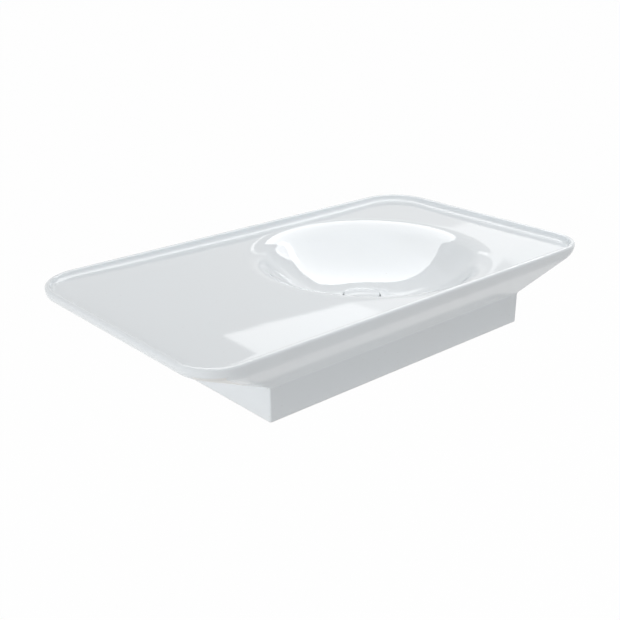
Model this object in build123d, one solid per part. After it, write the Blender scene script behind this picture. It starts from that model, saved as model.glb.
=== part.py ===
from build123d import *
from math import asin, atan2, cos, radians, sin, sqrt, tan
import os

# Wall-hung basin with a shelf and an off-centre round bowl. Millimetres, +Z up.
# The wall is the plane Y = 0 and the room is towards -Y. +X is the user's right.
# The origin is midway between the two wall fixings, on the wall.

# Tray and rim
tray_length = 900.0
tray_depth = 510.0
front_corner_radius = 68.0
back_corner_radius = 85.0
rim_width = 9.0
rim_outer_round = 4.5
rim_inner_round = 3.0
cove_radius = 8.0
floor_below_rim = 15.0
floor_fall = 1.0

# Flare and plinth
body_height = 140.0
flare_drop = 82.0
end_inset = 150.0
front_inset = 47.0
end_bend = 20.0
front_bend = 40.0
plinth_bend = 8.0
plinth_corner_radius = 3.0
ceramic_wall = 11.0
inner_corner_radius = 12.0

# Bowl
bowl_offset = 112.0
bowl_margin = 2.0
bowl_depth = 85.0
bowl_edge_bend = 60.0
bowl_flat_radius = 40.0

# Waste opening in the ceramic
waste_offset = 108.0
waste_setback = 12.0
waste_hole_radius = 23.0
recess_radius = 36.0
recess_depth = 7.0
waste_pad_radius = 45.0
waste_pad_thickness = 12.0

# Waste fitting, G 1 1/4
tail_radius = 20.95
tail_end_radius = 20.6
tail_step_below_nut = 0.5
tail_bore = 18.5
tail_length = 70.0
flange_radius = 32.5
flange_thickness = 2.0
throat_chamfer = 0.8
flange_seal_thickness = 1.5
flange_seal_radius = 31.5
underside_seal_radius = 31.0
underside_seal_height = 8.0
underside_seal_nose = 3.0
underside_seal_taper = 3.0
slip_washer_radius = 29.0
slip_washer_thickness = 1.5
back_nut_flats = 54.0
back_nut_height = 10.0
spider_depth = 25.0
spider_height = 8.0
spider_ring = 2.5
spider_arm = 2.5
spider_arms = 4

# Push-open cartridge
lift = 9.0
overtravel = 1.5
cartridge_radius = 11.0
cartridge_wall = 1.8
cartridge_below_flange = 16.0
cartridge_length = 40.0
cartridge_floor = 2.5
cartridge_vent = 2.5
cartridge_shoulder = 2.0
cartridge_shoulder_width = 2.0
cartridge_cap_height = 3.0
cartridge_cap_spigot = 2.0
cap_notch_width = 2.5
cap_notch_depth = 1.2
shaft_radius = 6.0
spindle_radius = 4.0
collar_height = 2.5
guide_radius = 2.6
guide_length = 12.0
rotor_height = 5.5
rotor_teeth = 8
rotor_tooth_height = 1.0
rotor_tooth_width = 2.6
spring_wire = 1.2
spring_radius = 6.4
spring_turns = 5.5

# Cap and its carrier
cover_radius = 34.0
cover_side = 4.4
cover_dome = 1.8
cover_edge_round = 1.6
cover_skirt_width = 3.5
cover_above_flange = 1.8
cover_pad_thickness = 0.6
cover_pad_radius = 26.0
carrier_radius = 29.5
carrier_thickness = 2.0
carrier_above_flange = 2.0
boss_radius = 17.4
boss_length = 8.0
boss_thread_depth = 7.0
seal_section = 1.6
seal_groove_width = 2.0
seal_below_flange = 3.6
locknut_flats = 13.0
locknut_height = 4.0

# Wall fixings, M10
fixing_spacing = 280.0
fixing_drop = 95.0
fixing_hole_radius = 14.5
bolt_radius = 5.0
stud_radius = 4.9
bolt_in_wall = 65.0
bolt_point = 12.0
bolt_spare = 6.0
bolt_end_chamfer = 1.0
bolt_drive_flats = 5.0
bolt_drive_depth = 4.0
sleeve_flange_radius = 19.0
sleeve_flange_thickness = 3.0
sleeve_end_gap = 0.5
fixing_washer_radius = 17.0
fixing_washer_thickness = 2.5
fixing_nut_flats = 17.0
fixing_nut_height = 8.0

# Clearances
running_clearance = 0.05
thread_clearance = 0.05
loose_clearance = 0.3
hole_clearance = 1.0
edge_margin = 0.1

# Heights and places that follow
rim_z = fixing_drop
base_z = rim_z - body_height
floor_edge_z = rim_z - floor_below_rim
bowl_bottom_z = floor_edge_z - bowl_depth
bowl_y = -tray_depth / 2
bowl_radius = tray_depth / 2 - rim_width - cove_radius - bowl_margin
waste_y = bowl_y + waste_setback
seat_z = bowl_bottom_z - recess_depth
pad_z = seat_z - waste_pad_thickness
flange_under_z = seat_z + flange_seal_thickness
flange_z = flange_under_z + flange_thickness
tail_end_z = flange_under_z - tail_length
nut_top_z = pad_z - underside_seal_height - slip_washer_thickness
tail_step_z = nut_top_z - back_nut_height - tail_step_below_nut
carrier_z = flange_z + carrier_above_flange
cartridge_z = flange_z - cartridge_below_flange
shoulder_z = flange_z - spider_depth
cap_top_z = cartridge_z + cartridge_cap_height
cartridge_bore = cartridge_radius - cartridge_wall
collar_z = cartridge_z - cartridge_cap_spigot - lift - loose_clearance
rotor_z = collar_z - collar_height - loose_clearance
spring_top_z = rotor_z - rotor_height
spring_foot_z = cartridge_z - cartridge_length + cartridge_floor
waste_axis = Pos(waste_offset, waste_y, 0)
washer_start = ceramic_wall + sleeve_flange_thickness
nut_start = washer_start + fixing_washer_thickness


def edge_turn(run, bend):
    """Angle through which the rim's outside bends before it runs straight to the plinth."""
    drop = flare_drop - rim_outer_round
    reach = sqrt((run - bend) ** 2 + drop**2 - bend**2)
    return atan2((run - bend) * reach + drop * bend, drop * reach - (run - bend) * bend)


def skirt_inset(depth, run, bend):
    """Distance in from the widest line to the outside, at a depth below the rim's top."""
    drop = flare_drop - rim_outer_round
    level = depth - rim_outer_round
    turn = edge_turn(run, bend)
    foot = plinth_bend * tan(turn / 2)
    if level <= 0:
        return 0.0
    if level < bend * sin(turn):
        return bend - sqrt(bend**2 - level**2)
    if level < drop - foot * cos(turn):
        return run - (drop - level) * tan(turn)
    if level < drop + foot:
        return run - plinth_bend + sqrt(plinth_bend**2 - (drop + foot - level) ** 2)
    return run


def rounded_face(half_length, front_y, back_y, front_radius, back_radius, z):
    """Level rectangle with one corner radius at the front and another at the wall."""
    corners = (
        (half_length - back_radius, back_y - back_radius, back_radius, 0),
        (back_radius - half_length, back_y - back_radius, back_radius, 90),
        (front_radius - half_length, front_y + front_radius, front_radius, 180),
        (half_length - front_radius, front_y + front_radius, front_radius, 270),
    )
    arcs = [CenterArc((x, y), radius, start, 90) for x, y, radius, start in corners]
    edges = []
    for arc, following in zip(arcs, arcs[1:] + arcs[:1]):
        edges += [arc, Line(arc @ 1, following @ 0)]
    return Pos(0, 0, z) * make_face(edges)


def outside_face(depth):
    """The ceramic's outline at a depth below the rim's top."""
    end = skirt_inset(depth, end_inset, end_bend)
    front = skirt_inset(depth, front_inset, front_bend)
    share = (end / end_inset + front / front_inset) / 2
    return rounded_face(
        tray_length / 2 - end,
        front - tray_depth,
        0,
        front_corner_radius + (plinth_corner_radius - front_corner_radius) * share,
        back_corner_radius + (plinth_corner_radius - back_corner_radius) * share,
        rim_z - depth,
    )


def spread(first, last, steps):
    """Evenly spaced values from first to last."""
    return [first + (last - first) * k / steps for k in range(steps + 1)]


def outside_solid():
    """Rim, flare and plinth as one filled block."""
    end_turn = edge_turn(end_inset, end_bend)
    front_turn = edge_turn(front_inset, front_bend)
    bend_foot = rim_outer_round + max(end_bend * sin(end_turn), front_bend * sin(front_turn))
    plinth_foot = plinth_bend * tan(end_turn / 2)
    straight_foot = flare_drop - plinth_foot * cos(end_turn)
    plinth_top = flare_drop + plinth_foot
    rim = extrude(outside_face(rim_outer_round), rim_outer_round)
    edge = loft([outside_face(d) for d in spread(rim_outer_round, bend_foot, 6)])
    flare = loft([outside_face(bend_foot), outside_face(straight_foot)], ruled=True)
    bend = loft([outside_face(d) for d in spread(straight_foot, plinth_top, 5)])
    plinth = extrude(outside_face(plinth_top), plinth_top - body_height)
    return rim + edge + flare + bend + plinth


def bowl_section(drop, top_z):
    """Half section of everything above the floor and bowl, lowered by a wall thickness."""
    edge_bend = bowl_edge_bend - drop
    side_bend_turn = 2 * atan2(bowl_depth, bowl_radius - bowl_flat_radius)
    side_bend = (bowl_radius - bowl_flat_radius) / sin(side_bend_turn) - bowl_edge_bend + drop
    edge_z = floor_edge_z - drop
    bottom_z = bowl_bottom_z - drop
    reach = tray_length
    far_z = edge_z + (reach - bowl_radius) * tan(radians(floor_fall))
    turn = side_bend_turn
    meet = (bowl_radius - edge_bend * sin(turn), edge_z - edge_bend * (1 - cos(turn)))
    half = turn / 2
    edge_mid = (bowl_radius - edge_bend * sin(half), edge_z - edge_bend * (1 - cos(half)))
    side_mid = (bowl_flat_radius + side_bend * sin(half), bottom_z + side_bend * (1 - cos(half)))
    outline = [
        Line((0, top_z), (0, bottom_z)),
        Line((0, bottom_z), (bowl_flat_radius, bottom_z)),
        ThreePointArc((bowl_flat_radius, bottom_z), side_mid, meet),
        ThreePointArc(meet, edge_mid, (bowl_radius, edge_z)),
        Line((bowl_radius, edge_z), (reach, far_z)),
        Line((reach, far_z), (reach, top_z)),
        Line((reach, top_z), (0, top_z)),
    ]
    return make_face([Plane.XZ * line for line in outline])


def above_bowl(drop, top_z):
    """Solid of everything above the floor and bowl, lowered by a wall thickness."""
    whole = revolve(bowl_section(drop, top_z), Axis.Z)
    return Pos(bowl_offset, bowl_y, 0) * whole


def tray_recess():
    """What is scooped out of the top: shelf, cove and bowl."""
    above = rim_z + rim_outer_round
    rim_inside = rounded_face(
        tray_length / 2 - rim_width,
        rim_width - tray_depth,
        -rim_width,
        front_corner_radius - rim_width,
        back_corner_radius - rim_width,
        above,
    )
    well = extrude(rim_inside, -above + bowl_bottom_z - recess_depth)
    scoop = well & above_bowl(0, above)
    foot = [e for e in scoop.edges() if is_cove_edge(e)]
    return fillet(foot, cove_radius)


def is_cove_edge(edge):
    """True for an edge where the floor meets the inside of the rim."""
    middle = edge @ 0.5
    inside_x = tray_length / 2 - rim_width
    away = Vector(middle.X - bowl_offset, middle.Y - bowl_y, 0).length
    low = floor_edge_z - cove_radius / 2 < middle.Z < rim_z
    level = edge.bounding_box().size.Z < cove_radius
    return low and level and away > bowl_radius and abs(middle.X) < inside_x + cove_radius


def hollow():
    """Space inside the plinth and the flare, open below."""
    ceiling = rim_z - (floor_below_rim - ceramic_wall / 2)
    depth = rim_z - floor_edge_z + ceramic_wall
    end_slope = edge_turn(end_inset, end_bend)
    front_slope = edge_turn(front_inset, front_bend)
    end = skirt_inset(depth, end_inset, end_bend) + ceramic_wall / cos(end_slope)
    front = skirt_inset(depth, front_inset, front_bend) + ceramic_wall / cos(front_slope)
    upper_end = end - (depth - (rim_z - ceiling)) * tan(end_slope)
    upper_front = front - (depth - (rim_z - ceiling)) * tan(front_slope)
    lower_end = end_inset + ceramic_wall
    lower_front = front_inset + ceramic_wall
    foot_z = rim_z - flare_drop + ceramic_wall * tan(end_slope / 2)
    top = rounded_face(
        tray_length / 2 - upper_end,
        upper_front - tray_depth,
        -ceramic_wall,
        front_corner_radius - ceramic_wall,
        back_corner_radius - ceramic_wall,
        ceiling,
    )
    waist = rounded_face(
        tray_length / 2 - lower_end,
        lower_front - tray_depth,
        -ceramic_wall,
        inner_corner_radius,
        inner_corner_radius,
        foot_z,
    )
    flared = loft([top, waist], ruled=True)
    straight = extrude(waist, base_z - foot_z - ceramic_wall)
    return flared + straight - above_bowl(ceramic_wall, rim_z)


def basin_body():
    """The ceramic casting."""
    body = outside_solid() - hollow()
    pad = Pos(0, 0, pad_z) * Cylinder(
        waste_pad_radius, bowl_bottom_z - pad_z, align=(Align.CENTER, Align.CENTER, Align.MIN)
    )
    body = body + waste_axis * pad - tray_recess()
    rim_face = body.faces().sort_by(Axis.Z)[-1]
    body = body.fillet(rim_outer_round - edge_margin, rim_face.outer_wire().edges())
    rim_face = body.faces().sort_by(Axis.Z)[-1]
    body = body.fillet(rim_inner_round, rim_face.inner_wires()[0].edges())
    recess = Pos(0, 0, seat_z) * Cylinder(
        recess_radius, recess_depth * 2, align=(Align.CENTER, Align.CENTER, Align.MIN)
    )
    hole = Pos(0, 0, pad_z) * Cylinder(
        waste_hole_radius, waste_pad_thickness * 3, align=(Align.CENTER, Align.CENTER, Align.CENTER)
    )
    body = body - waste_axis * recess - waste_axis * hole
    for x in (-fixing_spacing / 2, fixing_spacing / 2):
        bore = Cylinder(fixing_hole_radius, ceramic_wall * 3)
        body = body - Pos(x, 0, 0) * Rot(90, 0, 0) * bore
    return body


def ring(outer, inner, low, high):
    """Upright tube between two heights."""
    tube = Circle(outer) - Circle(inner)
    return extrude(Pos(0, 0, low) * tube, high - low)


def rod(radius, low, high):
    """Upright cylinder between two heights."""
    return extrude(Pos(0, 0, low) * Circle(radius), high - low)


def turned(points):
    """Solid turned about the Z axis from a half section of (radius, height) points."""
    section = make_face(Polyline(*points, close=True))
    return revolve(Plane.XZ * section, Axis.Z)


def hexagon_nut(flats, bore, low, height):
    """Hexagonal nut with both faces chamfered at the corners."""
    corner = flats / sqrt(3)
    slope = (corner - flats / 2) * tan(radians(30))
    blank = extrude(Pos(0, 0, low) * RegularPolygon(corner, 6), height)
    high = low + height
    chamfered = turned(
        [
            (0, low),
            (flats / 2, low),
            (corner, low + slope),
            (corner, high - slope),
            (flats / 2, high),
            (0, high),
        ]
    )
    return (blank & chamfered) - rod(bore, low, high)


def waste_cover():
    """Domed ceramic cap, hollow underneath for its carrier."""
    low = flange_z + cover_above_flange
    shoulder = low + cover_side
    ceiling = carrier_z + carrier_thickness + cover_pad_thickness
    dome_radius = (cover_radius**2 + cover_dome**2) / (2 * cover_dome)
    half_turn = asin(cover_radius / dome_radius) / 2
    dome_mid = (
        dome_radius * sin(half_turn),
        shoulder + cover_dome - dome_radius * (1 - cos(half_turn)),
    )
    inside = cover_radius - cover_skirt_width
    edges = [
        ThreePointArc((0, shoulder + cover_dome), dome_mid, (cover_radius, shoulder)),
        Polyline(
            (cover_radius, shoulder),
            (cover_radius, low),
            (inside, low),
            (inside, ceiling),
            (0, ceiling),
            (0, shoulder + cover_dome),
        ),
    ]
    cap = revolve(Plane.XZ * make_face(edges), Axis.Z)
    rims = [e for e in cap.edges().filter_by(GeomType.CIRCLE) if e.bounding_box().size.Z < edge_margin]
    upper_rim = max(rims, key=lambda e: (e.radius, e.center().Z))
    return fillet(upper_rim, cover_edge_round)


def cover_pad():
    """Soft adhesive disc between the cap and its carrier."""
    low = carrier_z + carrier_thickness
    return rod(cover_pad_radius, low, low + cover_pad_thickness)


def cover_carrier():
    """Metal disc whose boss reaches into the throat and holds the sealing ring."""
    boss_low = carrier_z - boss_length
    groove_low = flange_z - seal_below_flange - seal_groove_width / 2
    groove_bottom = tail_bore - running_clearance - seal_section - thread_clearance
    disc = rod(carrier_radius, carrier_z, carrier_z + carrier_thickness)
    boss = rod(boss_radius, boss_low, carrier_z)
    groove = ring(boss_radius + 1, groove_bottom, groove_low, groove_low + seal_groove_width)
    thread = rod(spindle_radius + thread_clearance, boss_low, boss_low + boss_thread_depth)
    return disc + boss - groove - thread


def plug_seal():
    """Round rubber ring that closes the throat."""
    middle = tail_bore - running_clearance - seal_section / 2
    section = Pos(middle, flange_z - seal_below_flange) * Circle(seal_section / 2)
    return revolve(Plane.XZ * section, Axis.Z)


def spindle_locknut():
    """Thin nut under the boss."""
    low = carrier_z - boss_length - locknut_height
    return hexagon_nut(locknut_flats, spindle_radius + thread_clearance, low, locknut_height)


def plunger():
    """Threaded spindle, sliding shaft, collar and guide pin in one turned piece."""
    boss_low = carrier_z - boss_length
    thread_top = boss_low + boss_thread_depth - loose_clearance
    shaft_top = cap_top_z + overtravel
    collar_radius = cartridge_bore - loose_clearance
    return turned(
        [
            (0, thread_top),
            (spindle_radius, thread_top),
            (spindle_radius, shaft_top),
            (shaft_radius, shaft_top),
            (shaft_radius, collar_z),
            (collar_radius, collar_z),
            (collar_radius, collar_z - collar_height),
            (guide_radius, collar_z - collar_height),
            (guide_radius, collar_z - collar_height - guide_length),
            (0, collar_z - collar_height - guide_length),
        ]
    )


def ratchet_rotor():
    """Cam ring with sloping teeth that steps round at each push."""
    outer = cartridge_bore - loose_clearance
    bore = guide_radius + running_clearance
    low = spring_top_z
    body = rod(outer, low, rotor_z - rotor_tooth_height)
    step = 360 / rotor_teeth
    tooth_length = 2 * outer * sin(radians(step / 2))
    tooth = extrude(
        make_face(Polyline((0, 0), (tooth_length, 0), (0, rotor_tooth_height), close=True)),
        rotor_tooth_width,
    )
    for k in range(rotor_teeth):
        seat = Rot(0, 0, k * step) * Pos(outer * cos(radians(step / 2)), -tooth_length / 2, 0)
        lift_to_top = Pos(0, 0, rotor_z - rotor_tooth_height)
        body = body + lift_to_top * seat * Rot(90, 0, -90) * Rot(0, 180, 0) * tooth
    envelope = rod(outer, low, rotor_z)
    return (body & envelope) - rod(bore, low, rotor_z)


def plunger_spring():
    """Compression spring with ground ends."""
    height = spring_top_z - spring_foot_z
    pitch = (height - spring_wire / 2) / spring_turns
    path = Helix(pitch, height - spring_wire / 2, spring_radius)
    start = Plane(origin=path @ 0, z_dir=path % 0)
    coil = sweep(start * Circle(spring_wire / 2), path=path, is_frenet=True)
    coil = Pos(0, 0, spring_foot_z + spring_wire / 4) * coil
    return coil & rod(spring_radius + spring_wire, spring_foot_z, spring_top_z)


def cartridge_housing():
    """Cup that holds the plunger, rotor and spring, with a shoulder that rests on the spider."""
    low = cartridge_z - cartridge_length
    shoulder = ring(
        cartridge_radius + cartridge_shoulder_width,
        cartridge_bore,
        shoulder_z,
        shoulder_z + cartridge_shoulder,
    )
    cup = rod(cartridge_radius, low, cartridge_z) - rod(cartridge_bore, spring_foot_z, cartridge_z)
    return cup + shoulder - rod(cartridge_vent, low, spring_foot_z)


def cartridge_cap():
    """Screwed ring with two spanner notches that keeps the plunger in."""
    bore = shaft_radius + running_clearance
    top = ring(cartridge_radius, bore, cartridge_z, cap_top_z)
    spigot = ring(
        cartridge_bore - thread_clearance, bore, cartridge_z - cartridge_cap_spigot, cartridge_z
    )
    notch = Pos(0, 0, cap_top_z) * Box(2.2 * cartridge_radius, cap_notch_width, 2 * cap_notch_depth)
    return top + spigot - notch


def waste_body():
    """Flanged tailpiece with four arms and a ring that carry the cartridge."""
    shell = turned(
        [
            (tail_bore, tail_end_z),
            (tail_end_radius - throat_chamfer, tail_end_z),
            (tail_end_radius, tail_end_z + throat_chamfer),
            (tail_end_radius, tail_step_z),
            (tail_radius, tail_step_z),
            (tail_radius, flange_under_z),
            (flange_radius, flange_under_z),
            (flange_radius, flange_z - throat_chamfer),
            (flange_radius - throat_chamfer, flange_z),
            (tail_bore + throat_chamfer, flange_z),
            (tail_bore, flange_z - throat_chamfer),
        ]
    )
    hub_bore = cartridge_radius + thread_clearance
    hub = ring(hub_bore + spider_ring, hub_bore, shoulder_z - spider_height, shoulder_z)
    wall_middle = (tail_bore + tail_radius) / 2
    arm_length = wall_middle - hub_bore - spider_ring / 2
    arm_middle = (wall_middle + hub_bore + spider_ring / 2) / 2
    body = shell + hub
    for k in range(spider_arms):
        arm = Box(arm_length, spider_arm, spider_height)
        body = body + Rot(0, 0, (k + 0.5) * 360 / spider_arms) * Pos(
            arm_middle, 0, shoulder_z - spider_height / 2
        ) * arm
    return body


def flange_seal():
    """Flat rubber ring between the flange and the ceramic."""
    return ring(flange_seal_radius, tail_radius + hole_clearance, seat_z, flange_under_z)


def underside_seal():
    """Rubber ring under the ceramic, with a nose that centres the tail in the hole."""
    bore = tail_radius + loose_clearance
    nose = waste_hole_radius - loose_clearance
    return turned(
        [
            (bore, pad_z - underside_seal_height),
            (underside_seal_radius - underside_seal_taper, pad_z - underside_seal_height),
            (underside_seal_radius, pad_z),
            (nose, pad_z),
            (nose, pad_z + underside_seal_nose),
            (bore, pad_z + underside_seal_nose),
        ]
    )


def slip_washer():
    """Plastic ring that lets the back nut turn without twisting the rubber."""
    high = pad_z - underside_seal_height
    bore = tail_radius + loose_clearance
    return ring(slip_washer_radius, bore, high - slip_washer_thickness, high)


def back_nut():
    """Large hexagonal nut that clamps the waste."""
    bore = tail_radius + thread_clearance
    return hexagon_nut(back_nut_flats, bore, nut_top_z - back_nut_height, back_nut_height)


def fixing_pair(piece):
    """Two copies of an upright piece, laid on the fixing axes with its +Z towards the room."""
    lay = Rot(90, 0, 0)
    return Compound([Pos(x, 0, 0) * lay * piece for x in (-fixing_spacing / 2, fixing_spacing / 2)])


def hanger_bolts():
    """Wood thread into the wall, metric thread through the basin, hexagon drive on the end."""
    bolt_end = nut_start + fixing_nut_height + bolt_spare
    shank = turned(
        [
            (0, -bolt_in_wall),
            (bolt_radius, bolt_point - bolt_in_wall),
            (bolt_radius, 0),
            (stud_radius, 0),
            (stud_radius, bolt_end - bolt_end_chamfer),
            (stud_radius - bolt_end_chamfer, bolt_end),
            (0, bolt_end),
        ]
    )
    drive = extrude(
        Pos(0, 0, bolt_end) * RegularPolygon(bolt_drive_flats / sqrt(3), 6), -bolt_drive_depth
    )
    return fixing_pair(shank - drive)


def fixing_sleeves():
    """Flanged nylon sleeves that keep the bolts off the ceramic."""
    bore = bolt_radius + loose_clearance
    tube = ring(fixing_hole_radius - loose_clearance, bore, sleeve_end_gap, ceramic_wall)
    flange_end = ceramic_wall + sleeve_flange_thickness
    return fixing_pair(tube + ring(sleeve_flange_radius, bore, ceramic_wall, flange_end))


def fixing_washers():
    """Flat steel washers."""
    bore = bolt_radius + loose_clearance
    return fixing_pair(ring(fixing_washer_radius, bore, washer_start, nut_start))


def fixing_nuts():
    """M10 nuts that pull the basin to the wall."""
    bore = stud_radius + thread_clearance
    return fixing_pair(hexagon_nut(fixing_nut_flats, bore, nut_start, fixing_nut_height))


pieces = (
    basin_body,
    waste_cover,
    cover_pad,
    cover_carrier,
    plug_seal,
    spindle_locknut,
    plunger,
    ratchet_rotor,
    plunger_spring,
    cartridge_housing,
    cartridge_cap,
    waste_body,
    flange_seal,
    underside_seal,
    slip_washer,
    back_nut,
)
fixings = (hanger_bolts, fixing_sleeves, fixing_washers, fixing_nuts)

os.makedirs("parts", exist_ok=True)
for make in pieces:
    place = Pos(0, 0, 0) if make is basin_body else waste_axis
    export_step(place * make(), f"parts/{make.__name__}.step")
for make in fixings:
    export_step(make(), f"parts/{make.__name__}.step")
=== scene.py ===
from math import atan2, cos, pi, radians, sin, sqrt, tan

import bmesh
import bpy
import numpy as np
from mathutils import Euler, Matrix


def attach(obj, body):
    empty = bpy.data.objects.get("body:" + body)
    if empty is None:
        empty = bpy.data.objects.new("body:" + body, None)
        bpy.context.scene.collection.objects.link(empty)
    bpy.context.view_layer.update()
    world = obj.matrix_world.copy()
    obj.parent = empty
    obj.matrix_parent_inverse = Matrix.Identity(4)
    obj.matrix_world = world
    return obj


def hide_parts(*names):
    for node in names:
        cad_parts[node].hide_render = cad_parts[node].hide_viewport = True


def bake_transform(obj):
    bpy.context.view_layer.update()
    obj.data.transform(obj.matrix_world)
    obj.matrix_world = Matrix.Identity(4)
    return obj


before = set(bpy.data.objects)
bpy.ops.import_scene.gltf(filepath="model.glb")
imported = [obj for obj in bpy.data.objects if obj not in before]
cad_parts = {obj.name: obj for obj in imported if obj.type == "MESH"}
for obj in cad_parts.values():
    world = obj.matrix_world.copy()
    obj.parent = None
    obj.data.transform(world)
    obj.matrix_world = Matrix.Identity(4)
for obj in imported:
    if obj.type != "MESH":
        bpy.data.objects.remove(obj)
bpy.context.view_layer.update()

scene = bpy.context.scene

# Camera
# It stands to the left of the basin and in front of it, a little over half a metre above the
# fixings, and looks down across the tray. Metres and degrees, from a fit to the outline.
camera_place = (-1.0775, -1.4276, 0.6327)
camera_down = 21.794
camera_right = 41.622
camera_roll = -0.077
camera_lens = 54.23

camera = bpy.data.objects.new("camera", bpy.data.cameras.new("camera"))
camera.data.lens = camera_lens
camera.location = camera_place
aim = Euler((radians(90 - camera_down), 0, radians(-camera_right))).to_matrix()
camera.rotation_euler = (aim @ Matrix.Rotation(radians(camera_roll), 3, "Z")).to_euler()
scene.collection.objects.link(camera)
scene.camera = camera

# Basin
# One slip-cast fireclay piece, 11 mm thick, glazed glossy white and fired. It is a thin-rimmed
# tray with a round bowl, on a flare and a hollow plinth that is open below and hangs on the wall.
tray_length = 0.900
tray_depth = 0.510
body_height = 0.140
rim_top = 0.095
front_corner = 0.068
back_corner = 0.085
rim_width = 0.009
rim_outer_round = 0.0045
rim_inner_round = 0.003
cove = 0.008
floor_drop = 0.015
floor_fall = tan(radians(1.0))

flare_drop = 0.082
end_inset = 0.150
front_inset = 0.047
end_bend = 0.020
front_bend = 0.040
plinth_bend = 0.008
plinth_corner = 0.003
ceramic_wall = 0.011
inner_corner = 0.012
foot_round = 0.0012

bowl_axis = np.array([0.112, -0.255])
waste_axis = np.array([0.108, -0.243])
bowl_radius = 0.236
bowl_depth = 0.085
bowl_edge_bend = 0.060
bowl_flat = 0.040
recess_radius = 0.036
recess_depth = 0.007
recess_round = 0.0010
hole_radius = 0.023
hole_round = 0.0008
recess_surround = 0.075
pad_radius = 0.045
pad_thickness = 0.012
pad_skirt = 0.016
plinth_band = 0.020

seat_edge = 0.0004
hair = 0.0005
same_point = 1e-7
level_rounds = 12
edge_crowding = 1.3
corner_steps = 36
long_side_steps = 84
short_side_steps = 44


def outline(half_length, front_y, back_y, front_radius, back_radius):
    """Points round a rectangle that has one corner radius at the front and another at the wall."""
    corners = (
        (half_length - back_radius, back_y - back_radius, back_radius, 0),
        (back_radius - half_length, back_y - back_radius, back_radius, 90),
        (front_radius - half_length, front_y + front_radius, front_radius, 180),
        (half_length - front_radius, front_y + front_radius, front_radius, 270),
    )
    runs = []
    for x, y, radius, start in corners:
        turn = np.radians(start + np.linspace(0, 90, corner_steps + 1))
        runs.append(np.column_stack([x + radius * np.cos(turn), y + radius * np.sin(turn)]))
    points = []
    steps = (long_side_steps, short_side_steps, long_side_steps, short_side_steps)
    for run, following, count in zip(runs, runs[1:] + runs[:1], steps):
        share = np.linspace(0, 1, count + 1)[1:-1, None]
        points += [run, run[-1] * (1 - share) + following[0] * share]
    return np.vstack(points)


def level_ring(points, depth):
    """A ring of points at one depth below the rim, or at a depth for each point."""
    return np.column_stack([points, rim_top - depth * np.ones(len(points))])


def rim_outline(offset):
    """Outline a distance in from the widest line, the same all round."""
    return outline(
        tray_length / 2 - offset,
        offset - tray_depth,
        -offset,
        front_corner - offset,
        back_corner - offset,
    )


def slope_turn(run, drop, bend):
    """Steepest angle of two equal bends joined by a straight line, over a run and a drop."""
    reach = sqrt(max(run**2 - 2 * run * bend + drop**2, 0))
    return atan2((run - bend) * reach + drop * bend, drop * reach - (run - bend) * bend)


def skirt_inset(depth, run, bend):
    """Distance in from the widest line to the outside, at a depth below the rim's top."""
    drop = flare_drop - rim_outer_round
    level = depth - rim_outer_round
    turn = slope_turn(run, drop, bend)
    foot = plinth_bend * tan(turn / 2)
    if level < bend * sin(turn):
        return bend - sqrt(bend**2 - level**2)
    if level < drop - foot * cos(turn):
        return run - (drop - level) * tan(turn)
    if level < drop + foot:
        return run - plinth_bend + sqrt(plinth_bend**2 - (drop + foot - level) ** 2)
    return run


def skirt_ring(depth, inward=0.0):
    """Outside of the flare or plinth at a depth, with the wall side kept on the wall."""
    end = skirt_inset(depth, end_inset, end_bend)
    front = skirt_inset(depth, front_inset, front_bend)
    share = (end / end_inset + front / front_inset) / 2
    points = outline(
        tray_length / 2 - end - inward,
        front - tray_depth + inward,
        -inward,
        front_corner + (plinth_corner - front_corner) * share,
        back_corner + (plinth_corner - back_corner) * share,
    )
    return level_ring(points, depth)


def bowl_drop(radius, lowered=0.0):
    """Depth below the rim of the floor and bowl, or of their underside, at radii from the axis."""
    edge_bend = bowl_edge_bend - lowered
    turn = 2 * atan2(bowl_depth, bowl_radius - bowl_flat)
    side_bend = (bowl_radius - bowl_flat) / sin(turn) - bowl_edge_bend + lowered
    meet = bowl_radius - edge_bend * sin(turn)
    start = floor_drop + lowered
    plain = start - (radius - bowl_radius) * floor_fall
    inside = np.clip(bowl_radius - radius, 0, edge_bend)
    convex = start + edge_bend - np.sqrt(edge_bend**2 - inside**2)
    out = np.clip(radius - bowl_flat, 0, side_bend)
    concave = start + bowl_depth - side_bend + np.sqrt(side_bend**2 - out**2)
    return np.where(radius > bowl_radius, plain, np.where(radius > meet, convex, concave))


def about(points, axis):
    """Distance and direction of points from an upright axis."""
    away = points - axis
    return np.hypot(away[:, 0], away[:, 1]), np.arctan2(away[:, 1], away[:, 0])


def circle_ring(centre, radius, angle, depth):
    """Ring round an upright axis."""
    spokes = np.column_stack([np.cos(angle), np.sin(angle)])
    return level_ring(centre + spokes * np.reshape(radius, (-1, 1)), depth)


def inner_rim_rings():
    """From the rim's flat top over its inner round, down the wall and round the cove."""
    run = rim_inner_round + cove
    foot = rim_outline(rim_width + cove)
    drops = bowl_drop(about(foot, bowl_axis)[0])
    turn = np.array([slope_turn(drop, run, run) for drop in drops])
    rings = []
    offsets_and_depths = []
    for share in np.linspace(0, 1, 8):
        bend = turn * share
        offsets_and_depths.append((rim_inner_round * np.sin(bend), rim_inner_round * (1 - np.cos(bend))))
    for share in np.linspace(1, 0, 10):
        bend = turn * share
        offsets_and_depths.append((run - cove * np.sin(bend), drops - cove * (1 - np.cos(bend))))
    outer = rim_outline(rim_width - rim_inner_round)
    for offset, depth in offsets_and_depths:
        share = (offset / run)[:, None]
        rings.append(level_ring(outer * (1 - share) + foot * share, depth))
    return rings


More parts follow.
